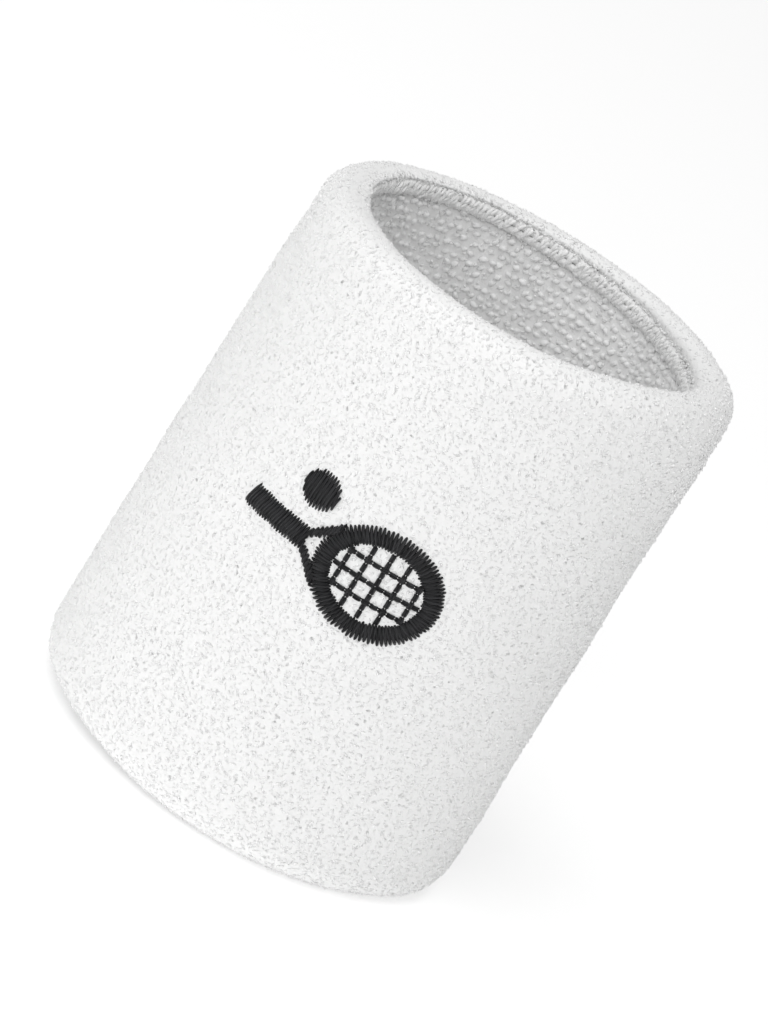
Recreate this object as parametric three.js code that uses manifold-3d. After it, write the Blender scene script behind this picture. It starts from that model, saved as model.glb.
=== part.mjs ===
// A terry sweat wristband for racket sports, standing on its lower fold.
//
// The band is one knitted terry tube folded double, so its wall is two layers of cloth with the loops
// facing out of both sides. The tube's two cut ends meet in an overlocked ridge inside the band, just
// below the top fold. A racket and a ball are embroidered on the front, through the outer layer only.
//
// Millimetres, +Z up the band, origin at the middle of the lower fold's flat, front towards -Y.

import * as THREE from "three";
import { mergeVertices } from "three/addons/utils/BufferGeometryUtils.js";
import { TessellateModifier } from "three/addons/modifiers/TessellateModifier.js";
import Module from "manifold-3d";

const wasm = await Module();
wasm.setup();

// Overall sizes.
const OUTER_RADIUS = 31;
const HEIGHT = 80;

// The wall, from the outside in.
const OUTER_PILE = 1.6;
const ELASTIC = 0.35;
const GROUND = 0.4;
const BACKING = 0.2;
const BOBBIN = 0.15;
const INNER_PILE = 1.1;
const PLY_GAP = 0.15;

// The folds: how far each outline runs across the wall and rises along it.
const TOP_FOLD = { outerRun: 3.2, outerRise: 3.8, innerRun: 2.4, innerRise: 3.2, crest: 1.4 };
const BOTTOM_FOLD = { outerRun: 2.2, outerRise: 4.4, innerRun: 1.8, innerRise: 2.6, crest: 1.3 };
const FOLD_LEG = 6;

// The seam that closes the tube, inside and below the top fold.
const SEAM_DROP = 6;
const SEAM_PLY = 1;
const SEAM_GROOVE = 0.5;
const SEAM_SLOT = 0.5;
const LOOPER_THREAD = 0.35;
const LOOPER_SWING = 0.3;
const NEEDLE_THREAD = 0.25;
const SEAM_STITCHES = 40;

// The elastic yarn laid into each layer.
const ELASTIC_PITCH = 11;
const ELASTIC_SIDES = 3;
const ELASTIC_STEPS_PER_TURN = 36;

// The embroidered racket lies along the band's girth, with its head to the right.
const MOTIF_ABOVE_MIDDLE = 3.8;
const MOTIF_RIGHT = 2.9;
const HEAD_HALF_LENGTH = 9;
const HEAD_HALF_WIDTH = 7.7;
const HOOP_WIDTH = 2.7;
const THROAT_LENGTH = 2;
const HANDLE_LENGTH = 10.2;
const HANDLE_WIDTH = 3.4;
const STRING_WIDTH = 0.7;
const STRING_SPACING = 2.5;
const BALL_RADIUS = 2.7;
const BALL_PLACE = { x: -12.5, z: 6.6 };
const COLUMN_GAP = 0.3;

// The embroidery's thickness: the pile it presses flat, then its underlay, columns and strings.
const PRESSED_PILE = 0.45;
const UNDERLAY = 0.2;
const UNDERLAY_INSET = 0.45;
const SATIN = 0.63;
const STRING_HEIGHT = 0.45;
const POCKET_MARGIN = 0.35;
const BACKING_MARGIN = 3;
const BOBBIN_SHARE = 1 / 3;

// How finely round things are cut into flats.
const RING_STEPS = 40;
const ARC_STEPS = 2;
const HOOP_STEPS = 12;
const LONGEST_EDGE = 3;

// Radii through the wall, from the outside in.
const outerPileBack = OUTER_RADIUS - OUTER_PILE;
const outerElasticMiddle = outerPileBack - PLY_GAP - ELASTIC / 2;
const outerGroundFace = outerPileBack - 2 * PLY_GAP - ELASTIC;
const outerGroundBack = outerGroundFace - GROUND;
const backingFace = outerGroundBack - PLY_GAP;
const bobbinFace = backingFace - BACKING - PLY_GAP;
const innerGroundBack = bobbinFace - BOBBIN - PLY_GAP;
const innerGroundFace = innerGroundBack - GROUND;
const innerElasticMiddle = innerGroundFace - PLY_GAP - ELASTIC / 2;
const innerPileBack = innerGroundFace - 2 * PLY_GAP - ELASTIC;
const innerRadius = innerPileBack - INNER_PILE;

// Heights of the seam, from the top down.
const seamHeight = HEIGHT - SEAM_DROP;
const seamTop = seamHeight + PLY_GAP / 2 + SEAM_PLY;
const seamBottom = seamHeight - PLY_GAP / 2 - SEAM_PLY;
const topFoldInnerEnd = seamTop + SEAM_GROOVE;
const innerTerryTop = seamBottom - SEAM_GROOVE;

// Radii of the embroidery, from the pressed pile out.
const pocketFloor = outerPileBack + PRESSED_PILE;
const underlayInner = pocketFloor + PLY_GAP;
const satinInner = underlayInner + UNDERLAY + PLY_GAP;

const COLOURS = {
  terry: { color: 0xf4f4f2, roughness: 0.95, metalness: 0 },
  ground: { color: 0xe4e4e2, roughness: 0.85, metalness: 0 },
  elastic: { color: 0xdad8d2, roughness: 0.6, metalness: 0 },
  seam: { color: 0xededeb, roughness: 0.7, metalness: 0 },
  embroidery: { color: 0x26262a, roughness: 0.45, metalness: 0 },
  bobbin: { color: 0xf0f0f0, roughness: 0.6, metalness: 0 },
  backing: { color: 0xe8e8e8, roughness: 0.9, metalness: 0 },
};

const wristband = new THREE.Group();

// Adds one named piece of the given finish.
function add(name, geometry, finish) {
  const mesh = new THREE.Mesh(geometry, new THREE.MeshStandardMaterial(COLOURS[finish]));
  mesh.name = name;
  wristband.add(mesh);
}

// Turns a closed outline of radius and height round the band's axis. It runs up the outside.
function ring(outline, steps = RING_STEPS) {
  const closed = [...outline, outline[0]];
  return new THREE.LatheGeometry(closed, steps).rotateX(Math.PI / 2);
}

// A ring of rectangular section.
function band(inner, outer, low, high, steps) {
  const corners = [
    [outer, low],
    [outer, high],
    [inner, high],
    [inner, low],
  ];
  return ring(
    corners.map(([radius, height]) => new THREE.Vector2(radius, height)),
    steps,
  );
}

// The points of a path, without doubles.
function pointsOf(path) {
  const points = path.getPoints(ARC_STEPS);
  return points.filter((point, i) => i === 0 || point.distanceTo(points[i - 1]) > 1e-6);
}

// The outline of a lower fold of terry: a trough, flat underneath, with a leg up each side.
function foldOutline(fold, outerLeg, innerLeg) {
  const middle = (outerPileBack + innerPileBack) / 2;
  const half = (outerPileBack - innerPileBack) / 2;
  const flatOuter = OUTER_RADIUS - fold.outerRun;
  const flatInner = innerRadius + fold.innerRun;
  const path = new THREE.Path();
  path.moveTo(innerRadius, innerLeg);
  path.lineTo(innerRadius, fold.innerRise);
  path.absellipse(flatInner, fold.innerRise, fold.innerRun, fold.innerRise, Math.PI, 1.5 * Math.PI);
  path.lineTo(flatOuter, 0);
  path.absellipse(flatOuter, fold.outerRise, fold.outerRun, fold.outerRise, -0.5 * Math.PI, 0);
  path.lineTo(OUTER_RADIUS, outerLeg);
  path.lineTo(outerPileBack, outerLeg);
  path.lineTo(outerPileBack, fold.crest + half);
  path.absellipse(middle, fold.crest + half, half, half, 0, -Math.PI, true);
  path.lineTo(innerPileBack, innerLeg);
  return pointsOf(path);
}

// Turns an outline upside down about the band's middle, still running up the outside.
function upsideDown(outline) {
  return outline.map((point) => new THREE.Vector2(point.x, HEIGHT - point.y)).reverse();
}

// One sleeve of ground knit with both folds in it, open at the seam.
function groundOutline() {
  const middle = (outerGroundFace + innerGroundFace) / 2;
  const outerHalf = (outerGroundFace - innerGroundFace) / 2;
  const innerHalf = outerHalf - GROUND;
  const lowest = BOTTOM_FOLD.crest + 2 * PLY_GAP;
  const highest = HEIGHT - TOP_FOLD.crest - 2 * PLY_GAP;
  const low = lowest + outerHalf;
  const high = highest - outerHalf;
  const endBelow = seamHeight - SEAM_SLOT / 2;
  const endAbove = seamHeight + SEAM_SLOT / 2;
  const path = new THREE.Path();
  path.moveTo(innerGroundFace, endBelow);
  path.lineTo(innerGroundFace, low);
  path.absellipse(middle, low, outerHalf, outerHalf, Math.PI, 2 * Math.PI);
  path.lineTo(outerGroundFace, high);
  path.absellipse(middle, high, outerHalf, outerHalf, 0, Math.PI);
  path.lineTo(innerGroundFace, endAbove);
  path.lineTo(innerGroundBack, endAbove);
  path.lineTo(innerGroundBack, high);
  path.absellipse(middle, high, innerHalf, innerHalf, Math.PI, 0, true);
  path.lineTo(outerGroundBack, low);
  path.absellipse(middle, low, innerHalf, innerHalf, 0, -Math.PI, true);
  path.lineTo(innerGroundBack, endBelow);
  return pointsOf(path);
}

// The winding of an elastic yarn round the band.
class Winding extends THREE.Curve {
  constructor(radius, low, high) {
    super();
    this.radius = radius;
    this.low = low;
    this.high = high;
    this.turns = (high - low) / ELASTIC_PITCH;
  }

  getPoint(t, target = new THREE.Vector3()) {
    const angle = 2 * Math.PI * this.turns * t;
    const height = THREE.MathUtils.lerp(this.low, this.high, t);
    return target.set(this.radius * Math.cos(angle), this.radius * Math.sin(angle), height);
  }
}

function elasticYarn(radius, low, high) {
  const winding = new Winding(radius, low + ELASTIC, high - ELASTIC);
  const section = new THREE.Shape();
  for (let i = 0; i < ELASTIC_SIDES; i += 1) {
    const angle = (2 * Math.PI * i) / ELASTIC_SIDES;
    const corner = [(ELASTIC / 2) * Math.cos(angle), (ELASTIC / 2) * Math.sin(angle)];
    if (i === 0) section.moveTo(...corner);
    else section.lineTo(...corner);
  }
  const steps = Math.ceil(winding.turns * ELASTIC_STEPS_PER_TURN);
  return new THREE.ExtrudeGeometry(section, { steps, extrudePath: winding });
}

// A looper thread, which swings up and down round the seam's ridge with each stitch.
function looperThread(height, start) {
  const outer = innerRadius;
  const inner = outer - LOOPER_THREAD;
  const steps = 2 * SEAM_STITCHES;
  const geometry = band(inner, outer, height - LOOPER_THREAD / 2, height + LOOPER_THREAD / 2, steps);
  const position = geometry.getAttribute("position");
  for (let i = 0; i < position.count; i += 1) {
    const angle = Math.atan2(position.getY(i), position.getX(i));
    const step = Math.round((angle / (2 * Math.PI)) * steps) + steps;
    const swing = (step + start) % 2 === 0 ? LOOPER_SWING : -LOOPER_SWING;
    position.setZ(i, position.getZ(i) + swing);
  }
  return geometry;
}

// Embroidered pieces are drawn flat, in X round the girth and Z up the band, with the middle of the
// racket's head at (0, 0) and their thickness towards -Y. wrapped lays one round the band's front.
function wrapped(flat) {
  flat.translate(MOTIF_RIGHT, 0, HEIGHT / 2 + MOTIF_ABOVE_MIDDLE);
  const position = flat.getAttribute("position");
  for (let i = 0; i < position.count; i += 1) {
    const angle = position.getX(i) / OUTER_RADIUS;
    const radius = -position.getY(i);
    position.setXYZ(i, radius * Math.sin(angle), -radius * Math.cos(angle), position.getZ(i));
  }
  return flat;
}

// A piece of any outline, with its inner face at the given radius.
function raised(shape, inner, thickness) {
  const settings = { depth: thickness, bevelEnabled: false, curveSegments: HOOP_STEPS };
  const flat = new THREE.ExtrudeGeometry(shape, settings).rotateX(Math.PI / 2);
  flat.translate(0, -inner, 0);
  return wrapped(new TessellateModifier(LONGEST_EDGE, 10).modify(flat));
}

// A rectangular piece, cut into flats along the girth only.
function strip({ left, right, low, high }, inner, thickness) {
  const steps = Math.ceil((right - left) / LONGEST_EDGE);
  const flat = new THREE.BoxGeometry(right - left, thickness, high - low, steps, 1, 1);
  flat.translate((left + right) / 2, -inner - thickness / 2, (low + high) / 2);
  return wrapped(flat);
}

// A filled ellipse, or with a width a hoop of that width inside it.
function ellipse(halfLength, halfWidth, width = 0) {
  const shape = new THREE.Shape().absellipse(0, 0, halfLength, halfWidth, 0, 2 * Math.PI);
  if (width > 0) {
    const hole = new THREE.Path();
    shape.holes.push(hole.absellipse(0, 0, halfLength - width, halfWidth - width, 0, 2 * Math.PI));
  }
  return shape;
}

function ballShape(radius) {
  return new THREE.Shape().absarc(BALL_PLACE.x, BALL_PLACE.z, radius, 0, 2 * Math.PI);
}

function polygon(corners) {
  return new THREE.Shape(corners.map(([x, y]) => new THREE.Vector2(x, y)));
}

// The handle, grown by a margin all round or shrunk by a negative one.
const handleRight = -HEAD_HALF_LENGTH - THROAT_LENGTH;
const handleLeft = handleRight - HANDLE_LENGTH;

function handle(margin) {
  const half = HANDLE_WIDTH / 2 + margin;
  return { left: handleLeft - margin, right: handleRight + margin, low: -half, high: half };
}

// One side of the open throat, from the handle's corner out to the shoulder of the hoop.
// side is 1 for the upper one and -1 for the lower one.
const SHOULDER_INNER = THREE.MathUtils.degToRad(156);
const SHOULDER_OUTER = THREE.MathUtils.degToRad(142);
const THROAT_SPLIT = 0.25;

function throatShape(side, clearance, inset) {
  const shoulder = (angle, turn) => [
    (HEAD_HALF_LENGTH + clearance) * Math.cos(angle + turn),
    side * (HEAD_HALF_WIDTH + clearance) * Math.sin(angle + turn),
  ];
  const turn = inset / HEAD_HALF_LENGTH;
  const start = handleRight + clearance;
  const corners = [
    [start, side * (THROAT_SPLIT + inset)],
    shoulder(SHOULDER_INNER, -turn),
    shoulder(SHOULDER_OUTER, turn),
    [start, side * (HANDLE_WIDTH / 2 - inset)],
  ];
  return polygon(side > 0 ? corners : corners.reverse());
}

// The whole area between the handle and the shoulders, for the pressed pocket.
function throatPocketShape(margin) {
  const reach = HEAD_HALF_WIDTH * Math.sin(SHOULDER_OUTER) + COLUMN_GAP + 2 * margin;
  const right = HEAD_HALF_LENGTH * Math.cos(SHOULDER_OUTER);
  const half = HANDLE_WIDTH / 2 + margin;
  return polygon([
    [handleRight, -half],
    [right, -reach],
    [right, reach],
    [handleRight, half],
  ]);
}

// Strings laid both ways across the head, each ending just short of the hoop.
function strings() {
  const halfLength = HEAD_HALF_LENGTH - HOOP_WIDTH - COLUMN_GAP;
  const halfWidth = HEAD_HALF_WIDTH - HOOP_WIDTH - COLUMN_GAP;
  const half = STRING_WIDTH / 2;
  const laid = [];
  const across = Math.floor((halfWidth - half) / STRING_SPACING);
  for (let i = -across; i <= across; i += 1) {
    const middle = i * STRING_SPACING;
    const reach = halfLength * Math.sqrt(1 - ((Math.abs(middle) + half) / halfWidth) ** 2);
    laid.push({ left: -reach, right: reach, low: middle - half, high: middle + half });
  }
  const along = Math.floor((halfLength - half) / STRING_SPACING);
  for (let i = -along; i <= along; i += 1) {
    const middle = i * STRING_SPACING;
    const reach = halfWidth * Math.sqrt(1 - ((Math.abs(middle) + half) / halfLength) ** 2);
    laid.push({ left: middle - half, right: middle + half, low: -reach, high: reach });
  }
  return laid;
}

function solidOf(geometry) {
  const bare = new THREE.BufferGeometry();
  const loose = geometry.index ? geometry.toNonIndexed() : geometry;
  bare.setAttribute("position", loose.getAttribute("position").clone());
  const merged = mergeVertices(bare, 1e-4);
  return new wasm.Manifold(
    new wasm.Mesh({
      numProp: 3,
      vertProperties: new Float32Array(merged.getAttribute("position").array),
      triVerts: new Uint32Array(merged.index.array),
    }),
  );
}

function geometryOf(solid) {
  const mesh = solid.getMesh();
  const geometry = new THREE.BufferGeometry();
  geometry.setAttribute("position", new THREE.BufferAttribute(mesh.vertProperties, mesh.numProp));
  geometry.setIndex(new THREE.BufferAttribute(mesh.triVerts, 1));
  geometry.computeVertexNormals();
  return geometry;
}

// Joins outlines and rectangles into one raised piece.
function joined(parts, inner, thickness) {
  const make = (part) => (part instanceof THREE.Shape ? raised : strip)(part, inner, thickness);
  return parts.map((part) => solidOf(make(part))).reduce((whole, next) => whole.add(next));
}

// The terry: outside, inside and the two folds.
function addTerry() {
  const plain = band(outerPileBack, OUTER_RADIUS, FOLD_LEG + PLY_GAP, HEIGHT - FOLD_LEG - PLY_GAP);
  const pocketParts = [
    ellipse(HEAD_HALF_LENGTH + POCKET_MARGIN, HEAD_HALF_WIDTH + POCKET_MARGIN),
    throatPocketShape(POCKET_MARGIN),
    handle(POCKET_MARGIN),
    ballShape(BALL_RADIUS + POCKET_MARGIN),
  ];
  const pocket = joined(pocketParts, pocketFloor, OUTER_PILE);
  add("outer_terry", geometryOf(solidOf(plain).subtract(pocket)), "terry");
  add("inner_terry", band(innerRadius, innerPileBack, FOLD_LEG + PLY_GAP, innerTerryTop), "terry");
  add("bottom_fold_terry", ring(foldOutline(BOTTOM_FOLD, FOLD_LEG, FOLD_LEG)), "terry");
  const topFold = foldOutline(TOP_FOLD, FOLD_LEG, HEIGHT - topFoldInnerEnd);
  add("top_fold_terry", ring(upsideDown(topFold)), "terry");
}

// The ground knit that holds the loops, and the elastic yarn laid into it.
function addGround() {
  add("ground_knit", ring(groundOutline()), "ground");
  const low = FOLD_LEG;
  add("outer_elastic_yarn", elasticYarn(outerElasticMiddle, low, HEIGHT - FOLD_LEG), "elastic");
  add("inner_elastic_yarn", elasticYarn(innerElasticMiddle, low, innerTerryTop), "elastic");
}

// The tube's two cut edges, side by side, bound by three overlock threads.
function addSeam() {
  const inner = innerRadius + PLY_GAP;
  const outer = innerGroundFace - PLY_GAP;
  add("seam_edge_upper", band(inner, outer, seamTop - SEAM_PLY, seamTop), "seam");
  add("seam_edge_lower", band(inner, outer, seamBottom, seamBottom + SEAM_PLY), "seam");
  const apart = LOOPER_SWING + LOOPER_THREAD / 2 + PLY_GAP;
  add("seam_upper_looper_thread", looperThread(seamHeight + apart, 0), "seam");
  add("seam_lower_looper_thread", looperThread(seamHeight - apart, 1), "seam");
  const needleLow = seamTop + (SEAM_GROOVE - NEEDLE_THREAD) / 2;
  const needleInner = innerPileBack;
  const needle = band(needleInner, needleInner + NEEDLE_THREAD, needleLow, needleLow + NEEDLE_THREAD);
  add("seam_needle_thread", needle, "seam");
}

// The embroidery's columns and strings, with the underlay beneath them.
function addEmbroidery() {
  const satin = (name, shape) => add(name, raised(shape, satinInner, SATIN), "embroidery");
  satin("racket_hoop_stitching", ellipse(HEAD_HALF_LENGTH, HEAD_HALF_WIDTH, HOOP_WIDTH));
  satin("racket_throat_upper_stitching", throatShape(1, COLUMN_GAP, 0));
  satin("racket_throat_lower_stitching", throatShape(-1, COLUMN_GAP, 0));
  add("racket_handle_stitching", strip(handle(0), satinInner, SATIN), "embroidery");
  satin("ball_stitching", ballShape(BALL_RADIUS));
  const stringing = joined(strings(), underlayInner, STRING_HEIGHT);
  add("racket_string_stitching", geometryOf(stringing), "embroidery");

  const underlayHoop = ellipse(
    HEAD_HALF_LENGTH - UNDERLAY_INSET,
    HEAD_HALF_WIDTH - UNDERLAY_INSET,
    HOOP_WIDTH - 2 * UNDERLAY_INSET,
  );
  const underlayParts = [
    underlayHoop,
    throatShape(1, -UNDERLAY_INSET - COLUMN_GAP, UNDERLAY_INSET / 2),
    throatShape(-1, -UNDERLAY_INSET - COLUMN_GAP, UNDERLAY_INSET / 2),
    handle(-UNDERLAY_INSET),
  ];
  const underlay = joined(underlayParts, underlayInner, UNDERLAY);
  add("racket_underlay_stitching", geometryOf(underlay), "embroidery");
  const ballUnderlay = raised(ballShape(BALL_RADIUS - UNDERLAY_INSET), underlayInner, UNDERLAY);
  add("ball_underlay_stitching", ballUnderlay, "embroidery");
}

// The soft backing behind the outer layer, and the bobbin thread that shows on it.
function addBacking() {
  const sheet = {
    left: handleLeft - BACKING_MARGIN,
    right: HEAD_HALF_LENGTH + BACKING_MARGIN,
    low: -HEAD_HALF_WIDTH - BACKING_MARGIN,
    high: Math.max(HEAD_HALF_WIDTH, BALL_PLACE.z + BALL_RADIUS) + BACKING_MARGIN,
  };
  add("embroidery_backing", strip(sheet, backingFace - BACKING, BACKING), "backing");

  const hoopInset = (HOOP_WIDTH * (1 - BOBBIN_SHARE)) / 2;
  const handleInset = (HANDLE_WIDTH * (1 - BOBBIN_SHARE)) / 2;
  const bobbinHoop = ellipse(
    HEAD_HALF_LENGTH - hoopInset,
    HEAD_HALF_WIDTH - hoopInset,
    HOOP_WIDTH - 2 * hoopInset,
  );
  const neck = {
    left: handleRight - handleInset - HANDLE_WIDTH / 2,
    right: -HEAD_HALF_LENGTH + HOOP_WIDTH / 2,
    low: -BOBBIN,
    high: BOBBIN,
  };
  const bobbin = joined([bobbinHoop, neck, handle(-handleInset)], bobbinFace - BOBBIN, BOBBIN);
  add("racket_bobbin_thread", geometryOf(bobbin), "bobbin");
  const ballBobbin = raised(ballShape(BALL_RADIUS * BOBBIN_SHARE), bobbinFace - BOBBIN, BOBBIN);
  add("ball_bobbin_thread", ballBobbin, "bobbin");
}

addTerry();
addGround();
addSeam();
addEmbroidery();
addBacking();

export default wristband;
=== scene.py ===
"""A white terry sweat wristband for racket sports, with a racket and a ball embroidered on its front.

It stands on its lower fold. +Z runs up the band, the embroidery faces -Y, and all sizes are in metres.
"""

import math

import bmesh
import bpy
import numpy as np
from mathutils import Matrix, Vector


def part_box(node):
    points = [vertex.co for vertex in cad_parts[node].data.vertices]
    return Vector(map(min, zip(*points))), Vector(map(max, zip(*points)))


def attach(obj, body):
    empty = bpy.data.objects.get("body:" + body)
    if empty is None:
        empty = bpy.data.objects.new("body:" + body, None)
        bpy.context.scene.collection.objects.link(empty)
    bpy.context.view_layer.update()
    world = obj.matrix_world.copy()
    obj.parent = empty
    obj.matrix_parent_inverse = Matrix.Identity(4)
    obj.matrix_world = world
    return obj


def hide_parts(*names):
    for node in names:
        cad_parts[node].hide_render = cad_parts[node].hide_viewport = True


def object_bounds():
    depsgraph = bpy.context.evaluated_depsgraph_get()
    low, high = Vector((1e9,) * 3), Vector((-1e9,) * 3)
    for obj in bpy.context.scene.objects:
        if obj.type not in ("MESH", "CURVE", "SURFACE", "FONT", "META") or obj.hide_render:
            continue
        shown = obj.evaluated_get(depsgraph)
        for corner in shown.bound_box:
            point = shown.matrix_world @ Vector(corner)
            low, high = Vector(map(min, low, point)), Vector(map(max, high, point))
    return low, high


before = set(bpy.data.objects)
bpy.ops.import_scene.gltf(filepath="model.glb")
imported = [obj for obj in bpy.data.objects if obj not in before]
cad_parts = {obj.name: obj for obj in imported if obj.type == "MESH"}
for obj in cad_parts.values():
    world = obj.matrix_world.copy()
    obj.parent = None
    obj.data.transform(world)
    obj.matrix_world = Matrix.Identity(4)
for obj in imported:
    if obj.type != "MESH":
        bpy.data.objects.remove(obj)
cad_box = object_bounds()
MM = 0.001


# The studio: a pale table top under a long lens that looks down on the band, with its view turned so that
# the band leans to the right. Three large soft boxes light it from the left, the front and above, in a white
# room that fills the shadows.

HEIGHT = cad_box[1].z
CAMERA_DISTANCE = 1.2
CAMERA_ELEVATION = math.radians(19.23)
CAMERA_ROLL = math.radians(32.03)
VIEW_HEIGHT = 132.8 * MM
AIM_RIGHT = -0.73 * MM
AIM_UP = 0.97 * MM
SENSOR = 36
FAR_CLIP = 50
TABLE_WIDTH = 12
TABLE_COLOUR = (0.95, 0.95, 0.95, 1)
TABLE_GLOW = 0.28
ROOM_LIGHT = 0.4
SOFT_BOX_WIDTH = 0.9

band_middle = Vector((0, 0, HEIGHT / 2))


def add_camera():
    back = Vector((0, -math.cos(CAMERA_ELEVATION), math.sin(CAMERA_ELEVATION)))
    level_up = Vector((0, math.sin(CAMERA_ELEVATION), math.cos(CAMERA_ELEVATION)))
    across = Vector((1, 0, 0))
    right = across * math.cos(CAMERA_ROLL) + level_up * math.sin(CAMERA_ROLL)
    up = level_up * math.cos(CAMERA_ROLL) - across * math.sin(CAMERA_ROLL)
    data = bpy.data.cameras.new("camera")
    data.sensor_width = SENSOR
    data.lens = SENSOR * CAMERA_DISTANCE / VIEW_HEIGHT
    data.clip_end = FAR_CLIP
    camera = bpy.data.objects.new("camera", data)
    aim = band_middle + right * AIM_RIGHT + up * AIM_UP
    turn = Matrix((right, up, back)).transposed().to_4x4()
    camera.matrix_world = Matrix.Translation(aim + back * CAMERA_DISTANCE) @ turn
    bpy.context.scene.collection.objects.link(camera)
    bpy.context.scene.camera = camera


def add_soft_box(name, place, power):
    data = bpy.data.lights.new(name, "AREA")
    data.shape = "SQUARE"
    data.size = SOFT_BOX_WIDTH
    data.energy = power
    box = bpy.data.objects.new(name, data)
    box.location = place
    box.rotation_mode = "QUATERNION"
    box.rotation_quaternion = (band_middle - Vector(place)).to_track_quat("-Z", "Y")
    bpy.context.scene.collection.objects.link(box)


def add_table():
    form = bmesh.new()
    bmesh.ops.create_grid(form, x_segments=1, y_segments=1, size=TABLE_WIDTH / 2)
    mesh = bpy.data.meshes.new("table")
    form.to_mesh(mesh)
    form.free()
    mesh.transform(Matrix.Translation((0, 0, cad_box[0].z)))
    table = bpy.data.objects.new("table", mesh)
    bpy.context.scene.collection.objects.link(table)
    paint = bpy.data.materials.new("table_paint")
    paint.use_nodes = True
    shader = paint.node_tree.nodes["Principled BSDF"]
    shader.inputs["Base Color"].default_value = TABLE_COLOUR
    shader.inputs["Roughness"].default_value = 0.9
    shader.inputs["Specular IOR Level"].default_value = 0.1
    shader.inputs["Emission Color"].default_value = (1, 1, 1, 1)
    shader.inputs["Emission Strength"].default_value = TABLE_GLOW
    mesh.materials.append(paint)


def light_room():
    room = bpy.data.worlds.new("room")
    room.use_nodes = True
    backdrop = room.node_tree.nodes["Background"]
    backdrop.inputs["Color"].default_value = (1, 1, 1, 1)
    backdrop.inputs["Strength"].default_value = ROOM_LIGHT
    bpy.context.scene.world = room
    bpy.context.scene.view_settings.view_transform = "Standard"


add_camera()
add_table()
light_room()
add_soft_box("left_light", (-0.9, -0.3, 1.1), 2.8)
add_soft_box("front_light", (-0.3, -1.4, 0.8), 4.9)
add_soft_box("top_light", (0, -0.35, 1.5), 7.1)


# The knitted tube: one sleeve of white cotton knit folded double at the top and bottom. Its two cut ends
# meet inside, just below the top fold, where they stand inwards side by side as the seam's ridge.

OUTER_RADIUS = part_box("outer_terry")[1].x
WALL = 5.6 * MM
INNER_RADIUS = OUTER_RADIUS - WALL
FELT_DEPTH_OUTSIDE = 0.29 * MM
FELT_DEPTH_MOUTH = 0.15 * MM
FELT_DEPTH_INSIDE = 0.55 * MM
FELT_CHANGES_OVER = 2.5
CLOTH = 1.8 * MM
PLY = 1.0 * MM
PLY_GAP = 0.1 * MM
PLY_THICKENS_FROM = 1.2 * MM
PLY_THICKENS_OVER = 1.0 * MM
TOP_FOLD = {"outer": (3.2 * MM, 3.8 * MM), "inner": (2.4 * MM, 3.2 * MM)}
BOTTOM_FOLD = {"outer": (3.4 * MM, 5.0 * MM), "inner": (2.2 * MM, 2.6 * MM)}
SEAM_RISE = 1.3 * MM
SEAM_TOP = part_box("seam_edge_upper")[1].z + SEAM_RISE
SEAM_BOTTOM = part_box("seam_edge_lower")[0].z + SEAM_RISE
SEAM_MIDDLE = (SEAM_TOP + SEAM_BOTTOM) / 2
SEAM_GROOVE = 0.5 * MM
SEAM_BEND = 0.55 * MM
RIDGE_RADIUS = INNER_RADIUS + 0.25 * MM
NAP_STEP = 0.1 * MM
TUBE_STEP = 0.7 * MM
BEND_STEPS = 6
CURVED_FROM = 0.01
CURVE_FINENESS = 1.6
STRAIGHT_FINENESS = 0.4
TUBE_ROUND_STEPS = 160

# How the relaxed band differs from a true round tube: it settles under its own weight, but the stiff seam
# holds the inside up. Its mouth is a little oval, and higher at the right and the front. The top fold is
# thicker at the right, the lower fold arches off the table at the left of the front, and the sides roll
# gently in and out.

MOUTH_OVAL = (-0.65 * MM, -1.49 * MM)
MOUTH_TILT = (1.46 * MM, -1.06 * MM)
FOOT_TILT = (-0.15 * MM, 0.6 * MM)
FOOT_LIFT = 0.5 * MM
FOOT_ROUNDING = 3 * MM
FOOT_FLATNESS = 0.8
FOOT_ARCH = (math.radians(-150), 1.4 * MM)
FOOT_ARCH_SHARPNESS = 4
SETTLES = 2.0 * MM
SEAM_HOLDS = 0.75
SEAM_HOLDS_FROM = 0.3
SEAM_HOLDS_OVER = 0.6
RIM_RISE = (math.radians(-45), 1.1 * MM)
RIM_RISE_SHARPNESS = 6
THICKER = ((math.radians(-25), 1.7 * MM), (math.radians(-165), 0.9 * MM))
# Each roll's waves round the girth, waves up the height, start and depth.
ROLLS = (
    (3, 1.3, 0.6, 0.10 * MM),
    (5, -2.1, 2.2, 0.07 * MM),
    (8, 3.4, 4.1, 0.06 * MM),
    (13, -5.2, 1.1, 0.05 * MM),
)


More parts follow.
